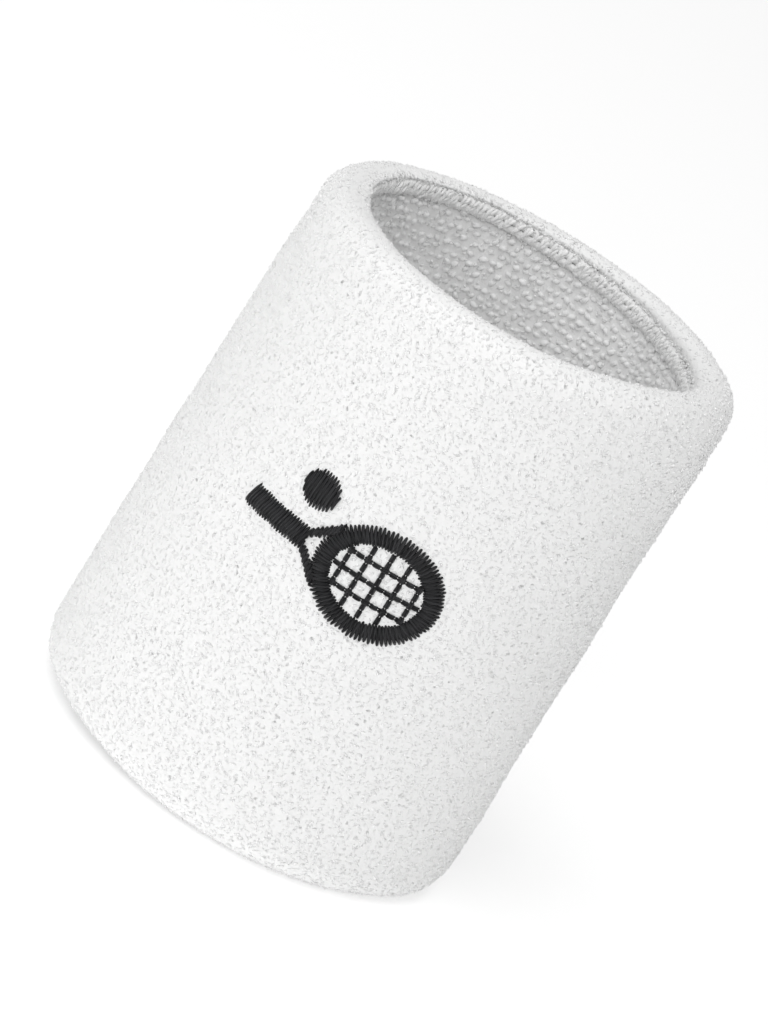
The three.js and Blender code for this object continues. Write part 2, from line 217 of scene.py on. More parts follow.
def relaxed(points):
    """Moves points of the true tube to where the relaxed cloth has them."""
    points = np.asarray(points, float)
    x, y, z = points[..., 0], points[..., 1], points[..., 2]
    angle = np.arctan2(y, x)
    up = np.clip(z / HEIGHT, 0, 1)
    out = up * (MOUTH_OVAL[0] * np.cos(2 * angle) + MOUTH_OVAL[1] * np.sin(2 * angle))
    for turns, rises, start, depth in ROLLS:
        out = out + depth * np.sin(turns * angle + rises * 2 * math.pi * up + start)
    inner = np.clip((OUTER_RADIUS - np.hypot(x, y)) / WALL, 0, 1)
    for towards, depth in THICKER:
        out = out - depth * inner * up**3 * np.maximum(np.cos(angle - towards), 0) ** 2
    lift = up**3 * (MOUTH_TILT[0] * np.cos(angle) + MOUTH_TILT[1] * np.sin(angle))
    lift = lift + up**3 * RIM_RISE[1] * np.maximum(np.cos(angle - RIM_RISE[0]), 0) ** RIM_RISE_SHARPNESS
    lift = lift - (1 - (1 - up) ** 3) * SETTLES
    below_fold = np.clip((HEIGHT - z) / (HEIGHT - SEAM_TOP), 0, 1)
    at_seam = np.clip((inner - SEAM_HOLDS_FROM) / SEAM_HOLDS_OVER, 0, 1)
    lift = lift * (1 - SEAM_HOLDS * below_fold * at_seam)
    foot = FOOT_LIFT + FOOT_TILT[0] * np.cos(angle) + FOOT_TILT[1] * np.sin(angle)
    foot = foot * (1 - FOOT_FLATNESS * (1 - np.clip(z / FOOT_ROUNDING, 0, 1)))
    foot = foot + FOOT_ARCH[1] * np.maximum(np.cos(angle - FOOT_ARCH[0]), 0) ** FOOT_ARCH_SHARPNESS
    lift = lift + (1 - up) ** 3 * foot
    return np.stack([x + out * np.cos(angle), y + out * np.sin(angle), np.maximum(z + lift, 0)], axis=-1)


def quarter(centre, runs, start, end, steps=24):
    angles = np.linspace(math.radians(start), math.radians(end), steps)
    return np.stack([centre[0] + runs[0] * np.cos(angles), centre[1] + runs[1] * np.sin(angles)], axis=1)


def evenly(line, step):
    """The same line with its points the given step apart."""
    lengths = np.concatenate([[0], np.cumsum(np.linalg.norm(np.diff(line, axis=0), axis=1))])
    along = np.linspace(0, lengths[-1], max(2, round(lengths[-1] / step) + 1))
    return np.stack([np.interp(along, lengths, line[:, i]) for i in range(2)], axis=1), along


def nap_line():
    """Radius and height of the pile's face, from the seam over the top fold, down, under and up inside."""
    top_outer, top_inner = TOP_FOLD["outer"], TOP_FOLD["inner"]
    low_outer, low_inner = BOTTOM_FOLD["outer"], BOTTOM_FOLD["inner"]
    return np.concatenate([
        [[INNER_RADIUS, SEAM_TOP - SEAM_GROOVE]],
        quarter((INNER_RADIUS + top_inner[0], HEIGHT - top_inner[1]), top_inner, 180, 90),
        quarter((OUTER_RADIUS - top_outer[0], HEIGHT - top_outer[1]), top_outer, 90, 0)[1:],
        quarter((OUTER_RADIUS - low_outer[0], low_outer[1]), low_outer, 0, -90),
        quarter((INNER_RADIUS + low_inner[0], low_inner[1]), low_inner, -90, -180)[1:],
        [[INNER_RADIUS, SEAM_BOTTOM + SEAM_GROOVE]],
    ])


nap, nap_along = evenly(nap_line(), NAP_STEP)
nap_slope = np.gradient(nap, axis=0)
nap_slope /= np.linalg.norm(nap_slope, axis=1)[:, None]
nap_out = np.stack([-nap_slope[:, 1], nap_slope[:, 0]], axis=1)
across_wall = np.clip((nap[:, 0] - INNER_RADIUS) / WALL, 0, 1)
past_middle = nap_along > nap_along[-1] / 2
inside_share = np.clip(1 - across_wall * FELT_CHANGES_OVER, 0, 1)
felt_inside = np.where(past_middle, FELT_DEPTH_INSIDE, FELT_DEPTH_MOUTH)
felt_depth = FELT_DEPTH_OUTSIDE + (felt_inside - FELT_DEPTH_OUTSIDE) * inside_share


def along_nap(where, values):
    """Values held along the nap line, read at distances along it."""
    if values.ndim == 1:
        return np.interp(where, nap_along, values)
    return np.stack([np.interp(where, nap_along, values[:, i]) for i in range(values.shape[1])], axis=-1)


def place_piece(name, mesh, slot, *nodes):
    """Puts a finished mesh into the scene as a piece of the band that stands for CAD nodes."""
    piece = bpy.data.objects.new(name, mesh)
    bpy.context.scene.collection.objects.link(piece)
    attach(piece, "root")
    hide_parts(*nodes)
    return piece


class Finish:
    """A material on the Principled shader. Fixed values are set on the shader's own sockets."""

    def __init__(self, name, **fixed):
        self.material = bpy.data.materials.new(name)
        self.material.use_nodes = True
        self.tree = self.material.node_tree
        self.shader = self.tree.nodes["Principled BSDF"]
        for socket, value in fixed.items():
            self.shader.inputs[socket.replace("_", " ")].default_value = value

    def node(self, kind, settings, sockets, output=0):
        made = self.tree.nodes.new(kind)
        for name, value in settings.items():
            setattr(made, name, value)
        for name, value in sockets.items():
            self.feed(made.inputs[name], value)
        return made.outputs[output]

    def feed(self, socket, value):
        if isinstance(value, bpy.types.NodeSocket):
            self.tree.links.new(value, socket)
        else:
            socket.default_value = value

    def colour(self, value):
        self.feed(self.shader.inputs["Base Color"], value)

    def relief(self, height, depth):
        bump = self.node("ShaderNodeBump", {}, {"Height": height, "Distance": depth, "Strength": 1.0})
        self.feed(self.shader.inputs["Normal"], bump)

    def blend(self, amount, first, second):
        sockets = {"Factor": amount, 6: first, 7: second}
        return self.node("ShaderNodeMix", {"data_type": "RGBA"}, sockets, output=2)

    def at_object(self):
        return self.node("ShaderNodeTexCoord", {}, {}, output="Object")

    def noise(self, scale, detail=2.0):
        sockets = {"Vector": self.at_object(), "Scale": scale, "Detail": detail}
        return self.node("ShaderNodeTexNoise", {}, sockets)


def knit_finish():
    finish = Finish(
        "ground_knit",
        Roughness=0.95,
        Sheen_Weight=0.2,
        Sheen_Roughness=0.5,
        Specular_IOR_Level=0.2,
    )
    grain = finish.noise(1800, 3)
    finish.colour(finish.blend(grain, (0.935, 0.935, 0.932, 1), (0.975, 0.975, 0.973, 1)))
    finish.relief(grain, 0.15 * MM)
    return finish.material


def tube_outline():
    """The sleeve's cut outline: a line down the middle of the cloth, and half its thickness each way."""
    middle = nap - nap_out * (felt_depth + CLOTH / 2)[:, None]
    bend = (SEAM_BEND, SEAM_BEND)
    ply_middle = PLY / 2 + PLY_GAP / 2
    above, below = SEAM_MIDDLE + ply_middle, SEAM_MIDDLE - ply_middle
    upper = quarter((middle[0, 0] - SEAM_BEND, above + SEAM_BEND), bend, -90, 0, BEND_STEPS)
    lower = quarter((middle[-1, 0] - SEAM_BEND, below - SEAM_BEND), bend, 0, 90, BEND_STEPS)
    kept = np.where(past_middle, middle[:, 1] < lower[0][1], middle[:, 1] > upper[-1][1])
    kept |= across_wall > 0.5
    line = np.concatenate([
        [[RIDGE_RADIUS, above]],
        upper,
        middle[kept],
        lower,
        [[RIDGE_RADIUS, below]],
    ])
    line, along = evenly(line, NAP_STEP)
    slope = np.gradient(line, axis=0)
    slope /= np.linalg.norm(slope, axis=1)[:, None]
    out = np.stack([-slope[:, 1], slope[:, 0]], axis=1)
    from_end = np.minimum(along, along[-1] - along)
    thicker = np.clip((from_end - PLY_THICKENS_FROM) / PLY_THICKENS_OVER, 0, 1)
    thickness = PLY + (CLOTH - PLY) * thicker
    curved = np.linalg.norm(np.gradient(slope, axis=0), axis=1) > CURVED_FROM
    fineness = np.where(curved, NAP_STEP * CURVE_FINENESS, NAP_STEP * STRAIGHT_FINENESS)
    spaced = np.cumsum(fineness) // TUBE_STEP
    chosen = np.concatenate([[True], np.diff(spaced) > 0])
    chosen[-1] = True
    half = (thickness / 2)[chosen, None]
    face, back = line[chosen] + out[chosen] * half, line[chosen] - out[chosen] * half
    return np.concatenate([face, back[::-1]]), along[-1]


def knitted_tube():
    outline, length = tube_outline()
    form = bmesh.new()
    verts = [form.verts.new((radius, 0, height)) for radius, height in outline]
    edges = [form.edges.new(pair) for pair in zip(verts, verts[1:] + verts[:1])]
    bmesh.ops.spin(
        form,
        geom=verts + edges,
        cent=(0, 0, 0),
        axis=(0, 0, 1),
        angle=2 * math.pi,
        steps=TUBE_ROUND_STEPS,
        use_merge=True,
    )
    bmesh.ops.remove_doubles(form, verts=form.verts, dist=1e-7)
    bmesh.ops.recalc_face_normals(form, faces=form.faces)
    for face in form.faces:
        face.smooth = True
    mesh = bpy.data.meshes.new("knitted_tube")
    form.to_mesh(mesh)
    form.free()
    points = np.empty(len(mesh.vertices) * 3)
    mesh.vertices.foreach_get("co", points)
    mesh.vertices.foreach_set("co", relaxed(points.reshape(-1, 3)).ravel())
    mesh.materials.append(knit_finish())
    nodes = ("ground_knit", "seam_edge_upper", "seam_edge_lower")
    tube = place_piece("knitted_tube", mesh, "ground_knit", *nodes)
    return tube, length


tube, tube_length = knitted_tube()


# The terry's loops outside: short arches of soft twisted cotton that stand close together on the knit and
# lean every way, over the wall and both folds. Each is a small yarn of its own.

LOOP_YARN = 0.36 * MM
LOOP_RADIUS = 0.22 * MM
LOOP_LEG = 0.2 * MM
LEG_BELOW = 0.25
LOOP_PITCH = 0.62 * MM
LOOP_SHUFFLE = 0.4
LOOP_LEAN = 0.7
LOOP_SINK = 0.2 * MM
LOOP_STRETCH = (0.85, 1.3)
TONE_RANGE = (0.2, 0.8)
# Loops in some patches sink deeper into the knit, and their colour is darker there: painted shade in the
# sunken patches.
MATTED_DEPTH = 0.05 * MM
PATCH_PAINTED_SHADE = 0.35
PATCH_WAVES = 40
PATCH_LONGEST = 3.5 * MM
PATCH_SHORTEST = 1.2 * MM
YARN_SIDES = 4
LOOP_BENDS = 3
OUTER_SECTORS = 6
FOLD_HEIGHT = 6 * MM
TOP_OVERRUN = 0.1 * MM
OUTSIDE_FROM = 0.9
STITCHING_MARGIN = 0.1 * MM
random = np.random.default_rng(7)


def arch(yarn, radius, leg, bends=LOOP_BENDS, sides=YARN_SIDES):
    """One loop: an arch of yarn in X and Z with its top at Z 0 and its two ends below."""
    form = bmesh.new()
    bmesh.ops.create_circle(form, cap_ends=True, segments=sides, radius=yarn / 2)
    bmesh.ops.translate(form, verts=form.verts, vec=(radius, 0, 0))
    bmesh.ops.spin(
        form,
        geom=form.faces[:],
        cent=(0, 0, 0),
        axis=(0, -1, 0),
        angle=math.pi,
        steps=bends,
    )
    for vert in form.verts:
        if vert.co.z < radius * LEG_BELOW:
            vert.co.z -= leg
    bmesh.ops.translate(form, verts=form.verts, vec=(0, 0, -radius - yarn / 2))
    return parts_of(form)


def parts_of(form):
    """The form's points, the corners of its faces one after another, and where each face starts."""
    bmesh.ops.recalc_face_normals(form, faces=form.faces)
    form.verts.index_update()
    points = np.array([vert.co for vert in form.verts])
    corners = np.array([vert.index for face in form.faces for vert in face.verts])
    sizes = np.array([len(face.verts) for face in form.faces])
    form.free()
    return points, corners, np.cumsum(sizes) - sizes


def sown(name, loop, places, axes, tones, shaped=None):
    """One mesh of many copies of a loop, each at its place with its own three axes and tone."""
    points, corners, starts = loop
    many = np.arange(len(places))[:, None]
    spread = places[:, None, :] + np.einsum("mij,nj->mni", axes, points)
    spread = (shaped(spread) if shaped else spread).reshape(-1, 3)
    spread[:, 2] = np.maximum(spread[:, 2], 0)
    all_corners = (corners[None] + many * len(points)).ravel()
    all_starts = (starts[None] + many * len(corners)).ravel()
    mesh = bpy.data.meshes.new(name)
    mesh.vertices.add(len(spread))
    mesh.vertices.foreach_set("co", spread.astype(np.float32).ravel())
    mesh.loops.add(len(all_corners))
    mesh.loops.foreach_set("vertex_index", all_corners.astype(np.int32))
    mesh.polygons.add(len(all_starts))
    mesh.polygons.foreach_set("loop_start", all_starts.astype(np.int32))
    mesh.update(calc_edges=True)
    mesh.shade_smooth()
    tone = mesh.attributes.new("tone", "FLOAT", "POINT")
    tone.data.foreach_set("value", np.repeat(tones, len(points)).astype(np.float32))
    return mesh


def patches(count, longest, shortest):
    """A smooth patchy pattern over angle and distance along the nap, as many crossed waves, about -1 to 1."""
    lengths = random.uniform(shortest, longest, count)
    headings = random.uniform(0, math.pi, count)
    around = np.round(2 * math.pi * OUTER_RADIUS * np.cos(headings) / lengths)
    along = 2 * math.pi * np.sin(headings) / lengths
    starts = random.uniform(0, 2 * math.pi, count)

    def pattern(angles, distances):
        waves = [np.sin(a * angles + b * distances + c) for a, b, c in zip(around, along, starts)]
        return np.clip(np.sum(waves, axis=0) / math.sqrt(count), -1, 1)

    return pattern


def standing(angles, along, depth, lean, turns, stretch):
    """Places and axes of loops on the nap, leaning by up to the given tangent."""
    line = along_nap(along, nap)
    out = along_nap(along, nap_out)
    cosine, sine = np.cos(angles), np.sin(angles)
    places = np.stack([line[:, 0] * cosine, line[:, 0] * sine, line[:, 1]], axis=1)
    normal = np.stack([out[:, 0] * cosine, out[:, 0] * sine, out[:, 1]], axis=1)
    normal /= np.linalg.norm(normal, axis=1)[:, None]
    places -= normal * depth[:, None]
    around = np.stack([-sine, cosine, np.zeros_like(sine)], axis=1)
    over = np.cross(normal, around)
    towards = random.uniform(0, 2 * math.pi, len(angles))
    tilt = lean * np.sqrt(random.uniform(0, 1, len(angles)))
    normal = normal + (around * np.cos(towards)[:, None] + over * np.sin(towards)[:, None]) * tilt[:, None]
    normal /= np.linalg.norm(normal, axis=1)[:, None]
    heading = around * np.cos(turns)[:, None] + over * np.sin(turns)[:, None]
    heading -= normal * np.sum(heading * normal, axis=1)[:, None]
    heading /= np.linalg.norm(heading, axis=1)[:, None]
    side = np.cross(normal, heading)
    axes = np.stack([heading * stretch[:, None], side, normal], axis=2)
    return relaxed(places), axes


def rows_between(start, end, pitch, shuffle):
    """Angles and distances along the nap of rows of loops, each loop shuffled off its even place."""
    angles, alongs = [], []
    rows = round((end - start) / pitch)
    for along in start + (np.arange(rows) + 0.5) * (end - start) / rows:
        radius = float(along_nap(np.array([along]), nap)[0, 0])
        count = round(2 * math.pi * radius / pitch)
        step = 2 * math.pi / count
        row = (np.arange(count) + random.uniform()) * step
        angles.append(row + random.uniform(-shuffle, shuffle, count) * step)
        alongs.append(along + random.uniform(-shuffle, shuffle, count) * pitch)
    return np.mod(np.concatenate(angles), 2 * math.pi), np.concatenate(alongs)


def cotton_finish():
    finish = Finish(
        "cotton_loops",
        Roughness=0.95,
        Sheen_Weight=0.35,
        Sheen_Roughness=0.5,
        Specular_IOR_Level=0.15,
        Subsurface_Weight=0.7,
        Subsurface_Radius=(1, 1, 1),
        Subsurface_Scale=0.35 * MM,
    )
    # Each loop's tone is a random tone, with painted shade that darkens the loops in the sunken patches.
    tone = finish.node("ShaderNodeAttribute", {"attribute_name": "tone"}, {}, output="Fac")
    finish.colour(finish.blend(tone, (0.95, 0.95, 0.948, 1), (0.98, 0.98, 0.978, 1)))
    return finish.material


cotton = cotton_finish()
soft_loop = arch(LOOP_YARN, LOOP_RADIUS, LOOP_LEG)

# Distances along the nap where the top fold ends outside, the lower fold starts, and it ends inside.
outside_wall = nap[:, 0] > OUTER_RADIUS - WALL / 2
top_fold_end = nap_along[outside_wall & (nap[:, 1] < HEIGHT - FOLD_HEIGHT)][0]
bottom_fold_start = nap_along[outside_wall & (nap[:, 1] < FOLD_HEIGHT)][0]
inside_wall = ~outside_wall & (nap_along > bottom_fold_start)
bottom_fold_end = nap_along[inside_wall & (nap[:, 1] > FOLD_HEIGHT)][0]

patchy = patches(PATCH_WAVES, PATCH_LONGEST, PATCH_SHORTEST)


def arc_at(x):
    """Distance round the girth from the middle of the front to where the surface has this X."""
    return OUTER_RADIUS * math.asin(x / OUTER_RADIUS)


def flat_box(node):
    """Left, right, low and high of an embroidered CAD node, laid flat."""
    low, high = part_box(node)
    return arc_at(low.x), arc_at(high.x), low.z, high.z


def oval_of(box):
    left, right, low, high = box
    return (left + right) / 2, (low + high) / 2, (right - left) / 2, (high - low) / 2


HOOP_WIDTH = 2.7 * MM
STRING_SPACING = 2.5 * MM
STRING_CLEAR = 0.3 * MM
HOOP = oval_of(flat_box("racket_hoop_stitching"))
BALL = oval_of(flat_box("ball_stitching"))
HANDLE = flat_box("racket_handle_stitching")
THROAT_UPPER = flat_box("racket_throat_upper_stitching")
THROAT_INNER_SHARE = 0.6


def inside_oval(arc, height, oval, grow):
    return ((arc - oval[0]) / (oval[2] + grow)) ** 2 + ((height - oval[1]) / (oval[3] + grow)) ** 2 < 1


def inside_box(arc, height, box, grow):
    left, right, low, high = box
    return (arc > left - grow) & (arc < right + grow) & (height > low - grow) & (height < high + grow)


def under_stitching(arc, height, grow):
    """True where the embroidery covers the cloth, in distance round the girth and height."""
    hoop = inside_oval(arc, height, HOOP, grow) & ~inside_oval(arc, height, HOOP, -HOOP_WIDTH - grow)
    head = inside_oval(arc, height, HOOP, -HOOP_WIDTH)
    across, up = (arc - HOOP[0]) / STRING_SPACING, (height - HOOP[1]) / STRING_SPACING
    off_string = np.minimum(np.abs(across - np.round(across)), np.abs(up - np.round(up))) * STRING_SPACING
    strings = head & (off_string < STRING_CLEAR)
    handle = inside_box(arc, height, HANDLE, grow)
    side = np.abs(height - HOOP[1])
    reach = (arc - HANDLE[1]) / (THROAT_UPPER[1] - HANDLE[1])
    outer_edge = (HANDLE[3] - HANDLE[2]) / 2 + reach * (THROAT_UPPER[3] - HANDLE[3])
    inner_edge = reach * (THROAT_UPPER[3] - HOOP[1]) * THROAT_INNER_SHARE
    throat = (reach > 0) & (arc < THROAT_UPPER[1]) & (side < outer_edge + grow) & (side > inner_edge - grow)
    return hoop | strings | handle | throat | inside_oval(arc, height, BALL, grow)


def add_loops(name, start, end, node, sectors=1):
    angles, alongs = rows_between(start, end, LOOP_PITCH, LOOP_SHUFFLE)
    front = np.mod(angles + math.pi / 2 + math.pi, 2 * math.pi) - math.pi
    heights = along_nap(alongs, nap)[:, 1]
    outside = along_nap(alongs, across_wall) > OUTSIDE_FROM
    covered = outside & under_stitching(front * OUTER_RADIUS, heights, STITCHING_MARGIN)
    angles, alongs = angles[~covered], alongs[~covered]
    many = len(angles)
    sunk_and_shaded = patchy(angles, alongs)
    depth = random.uniform(0, LOOP_SINK, many) + (sunk_and_shaded + 1) * MATTED_DEPTH
    turns = random.uniform(0, 2 * math.pi, many)
    stretch = random.uniform(*LOOP_STRETCH, many)
    places, axes = standing(angles, alongs, depth, LOOP_LEAN, turns, stretch)
    # Painted shade: loops that sink deeper in the patches are also coloured darker, on top of a random tone.
    tones = np.clip(random.uniform(*TONE_RANGE, many) - sunk_and_shaded * PATCH_PAINTED_SHADE, 0, 1)
    for sector in range(sectors):
        chosen = np.floor(angles / (2 * math.pi) * sectors).astype(int) == sector
        label = name if sectors == 1 else f"{name}_{sector + 1}"
        mesh = sown(label, soft_loop, places[chosen], axes[chosen], tones[chosen])
        mesh.materials.append(cotton)
        place_piece(label, mesh, "terry", node)


add_loops("top_fold_loops", -TOP_OVERRUN, top_fold_end, "top_fold_terry")
add_loops("outer_terry_loops", top_fold_end, bottom_fold_start, "outer_terry", OUTER_SECTORS)
add_loops("bottom_fold_loops", bottom_fold_start, bottom_fold_end, "bottom_fold_terry")


# The terry's loops inside: the same cotton, pulled flat into even rows by the elastic, one thick loop to
# each stitch of the knit, with low loops of thin yarn lying between them.

INNER_PITCH = 1.25 * MM
INNER_YARN = 0.86 * MM
INNER_LOOP_RADIUS = 0.38 * MM
INNER_LOOP_LEG = 0.25 * MM
INNER_LOOP_BENDS = 4
INNER_OVERRUN = 0.2 * MM
LOW_PITCH = 1.35 * MM
INNER_SECTORS = 3
INNER_STRETCH = (0.85, 1.15)
inner_loop = arch(INNER_YARN, INNER_LOOP_RADIUS, INNER_LOOP_LEG, INNER_LOOP_BENDS)


def add_inner_loops(name, loop, pitch, shuffle, depths, lean, turns):
    angles, alongs = rows_between(bottom_fold_end, nap_along[-1] + INNER_OVERRUN, pitch, shuffle)
    many = len(angles)
    depth = random.uniform(*depths, many)
    headings = random.normal(*turns, many)
    stretch = random.uniform(*INNER_STRETCH, many)
    places, axes = standing(angles, alongs, depth, lean, headings, stretch)
    # The same patches get painted shade inside too: darker loops on top of a random tone, though these loops
    # don't sink with them.
    tones = np.clip(random.uniform(*TONE_RANGE, many) - patchy(angles, alongs) * PATCH_PAINTED_SHADE, 0, 1)
    for sector in range(INNER_SECTORS):
        chosen = np.floor(angles / (2 * math.pi) * INNER_SECTORS).astype(int) == sector
        label = f"{name}_{sector + 1}"
        mesh = sown(label, loop, places[chosen], axes[chosen], tones[chosen])
        mesh.materials.append(cotton)
        place_piece(label, mesh, "terry", "inner_terry")


add_inner_loops(
    "inner_terry_loops",
    inner_loop,
    pitch=INNER_PITCH,
    shuffle=0.16,
    depths=(0, 0.25 * MM),
    lean=0.4,
    turns=(0.4, 0.5),
)
add_inner_loops(
    "inner_low_loops",
    soft_loop,
    pitch=LOW_PITCH,
    shuffle=0.45,
    depths=(0.2 * MM, 0.4 * MM),
    lean=0.6,
    turns=(0, 2),
)


# The elastic: a thin rubber yarn covered with pale thread, wound round and round through each layer of the
# knit. It is knitted in with the ground's stitches and draws the band in.

ELASTIC_YARN = 0.35 * MM
ELASTIC_PITCH = 2.75 * MM
ELASTIC_STEPS = 48
YARN_BEVEL = 1


def round_yarn(name, points, thickness):
    """A mesh of yarn along points."""
    curve = bpy.data.curves.new(name, "CURVE")
    curve.dimensions = "3D"
    curve.bevel_depth = thickness / 2
    curve.bevel_resolution = YARN_BEVEL
    curve.use_fill_caps = True
    spline = curve.splines.new("POLY")
    spline.points.add(len(points) - 1)
    spline.points.foreach_set("co", np.column_stack([points, np.ones(len(points))]).ravel())
    drawn = bpy.data.objects.new(name, curve)
    mesh = bpy.data.meshes.new_from_object(drawn)
    mesh.name = name
    bpy.data.objects.remove(drawn)
    bpy.data.curves.remove(curve)
    mesh.shade_smooth()
    return mesh


def elastic_finish():
    finish = Finish("covered_elastic", Roughness=0.6, Sheen_Weight=0.1, Specular_IOR_Level=0.4)
    grain = finish.noise(3000)
    finish.colour(finish.blend(grain, (0.78, 0.77, 0.74, 1), (0.88, 0.87, 0.84, 1)))
    finish.relief(grain, 0.05 * MM)
    return finish.material


def add_elastic(node, radius, low, high):
    turns = (high - low) / ELASTIC_PITCH
    steps = round(turns * ELASTIC_STEPS)
    angle = np.linspace(0, 2 * math.pi * turns, steps)
    points = np.stack([radius * np.cos(angle), radius * np.sin(angle), np.linspace(low, high, steps)], axis=1)
    mesh = round_yarn(node.replace("_yarn", "_winding"), relaxed(points), ELASTIC_YARN)
    mesh.materials.append(elastic)
    place_piece(mesh.name, mesh, "elastic", node)


elastic = elastic_finish()
for node in ("outer_elastic_yarn", "inner_elastic_yarn"):
    low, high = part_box(node)
    add_elastic(node, high.x - ELASTIC_YARN / 2, low.z + ELASTIC_YARN, high.z - ELASTIC_YARN)


# The overlock seam: three soft white threads that bind the ridge. The upper looper's strands cross its
# upper side, the lower looper's its lower side, and the needle thread runs along its root.

SEAM_STITCH = 1.3 * MM
LOOPER_YARN = 0.44 * MM
LOOPER_REACH = 0.75 * MM
LOOPER_LEG = 0.3 * MM
LOOPER_OFF_MIDDLE = 0.3 * MM
LOOPER_SLANT = -0.3
LOOPER_SPLAY = 0.2
LOOPER_CREST = INNER_RADIUS - 0.1 * MM
LOWER_LOOPER_START = 0.15
BACK_STRAND_LAG = 0.33
STRAND_SHUFFLE = 0.2
STRAND_TILT = 0.12
STRAND_RISE = 0.12 * MM
STRAND_SINK = (-0.08 * MM, 0.12 * MM)
STRAND_STRETCH = (0.85, 1.15)
NEEDLE_YARN = 0.3 * MM
NEEDLE_RADIUS = INNER_RADIUS + 0.6 * MM
NEEDLE_HEIGHT = SEAM_TOP + 0.2 * MM
NEEDLE_START = 0.25


def seam_thread_finish():
    finish = Finish(
        "seam_thread",
        Roughness=0.9,
        Sheen_Weight=0.3,
        Sheen_Roughness=0.5,
        Specular_IOR_Level=0.2,
    )
    grain = finish.noise(4000)
    finish.colour(finish.blend(grain, (0.93, 0.93, 0.927, 1), (0.97, 0.97, 0.967, 1)))
    finish.relief(grain, 0.05 * MM)
    return finish.material


def seam_stitches(name, loop, radius, height, slant, start, node):
    """Two strands to each stitch all round the seam, a forward one and a back one, splayed apart."""
    count = 2 * round(2 * math.pi * INNER_RADIUS / SEAM_STITCH)
    back = np.arange(count) % 2
    shuffled = random.uniform(-STRAND_SHUFFLE, STRAND_SHUFFLE, count)
    angles = (np.arange(count) + start - BACK_STRAND_LAG * back + shuffled) * 2 * math.pi / count
    cosine, sine, flat = np.cos(angles), np.sin(angles), np.zeros(count)
    inward = np.stack([-cosine, -sine, flat], axis=1)
    around = np.stack([-sine, cosine, flat], axis=1)
    tilt = slant + LOOPER_SPLAY * (2 * back - 1) + random.uniform(-STRAND_TILT, STRAND_TILT, count)
    heights = height + random.uniform(-STRAND_RISE, STRAND_RISE, count)
    sinks = radius + random.uniform(*STRAND_SINK, count)
    heading = around * np.sin(tilt)[:, None] + np.array([0, 0, 1]) * np.cos(tilt)[:, None]
    side = np.cross(inward, heading)
    places = -inward * sinks[:, None] + np.array([0, 0, 1]) * heights[:, None]
    stretch = random.uniform(*STRAND_STRETCH, count)
    axes = np.stack([heading * stretch[:, None], side, inward], axis=2)
    mesh = sown(name, loop, places, axes, random.uniform(0, 1, count), relaxed)
    mesh.materials.append(seam_thread)
    return place_piece(name, mesh, "seam_thread", node)


seam_thread = seam_thread_finish()
looper = arch(LOOPER_YARN, LOOPER_REACH, LOOPER_LEG, bends=7, sides=6)
needle = arch(NEEDLE_YARN, SEAM_STITCH / 2, 0, bends=4, sides=6)
seam_stitches(
    "seam_upper_looper_strands",
    looper,
    LOOPER_CREST,
    SEAM_MIDDLE + LOOPER_OFF_MIDDLE,
    LOOPER_SLANT,
    0,
    "seam_upper_looper_thread",
)
seam_stitches(
    "seam_lower_looper_strands",
    looper,
    LOOPER_CREST,
    SEAM_MIDDLE - LOOPER_OFF_MIDDLE,
    LOOPER_SLANT,
    LOWER_LOOPER_START,
    "seam_lower_looper_thread",
)
seam_stitches(
    "seam_needle_stitches",
    needle,
    NEEDLE_RADIUS,
    NEEDLE_HEIGHT,
    math.pi / 2,
    NEEDLE_START,
    "seam_needle_thread",
)


# The embroidery: a racket and a ball in black satin stitch. Close rows of silky thread cross each stroke
# from edge to edge over an underlay, and dip into the terry with slightly ragged ends.

SATIN_THREAD = 0.36 * MM
SATIN_STEP = 0.23 * MM
SATIN_CROWN = 0.52 * MM
SATIN_FOOT = -0.5 * MM
SATIN_RAGGED = 0.22 * MM
SATIN_SLANT = 0.7 * MM
UNDERLAY_STEP = 0.6 * MM
UNDERLAY_INSET = 0.4 * MM
UNDERLAY_CROWN = 0.2 * MM
STRING_STITCH = 1.25 * MM
STRING_CROWN = 0.32 * MM
STRING_LIFT = 0.05 * MM
STRAND_OFF_MIDDLE = 0.16 * MM
THROAT_GAP = 0.25 * MM
BALL_EDGE = 0.97
BOBBIN_OUT = -2.75 * MM
BOBBIN_THREAD = 0.15 * MM


def satin_finish():
    finish = Finish(
        "satin_thread",
        Roughness=0.4,
        Sheen_Weight=0.03,
        Sheen_Roughness=0.4,
        Specular_IOR_Level=0.22,
        Anisotropic=0.4,
    )
    tone = finish.node("ShaderNodeAttribute", {"attribute_name": "tone"}, {}, output="Fac")
    finish.colour(finish.blend(tone, (0.004, 0.004, 0.005, 1), (0.026, 0.026, 0.028, 1)))
    finish.relief(finish.noise(6000), 0.03 * MM)
    return finish.material


def bobbin_finish():
    finish = Finish("bobbin_thread", Roughness=0.6, Sheen_Weight=0.1, Specular_IOR_Level=0.4)
    tone = finish.node("ShaderNodeAttribute", {"attribute_name": "tone"}, {}, output="Fac")
    finish.colour(finish.blend(tone, (0.82, 0.82, 0.82, 1), (0.92, 0.92, 0.92, 1)))
    return finish.material


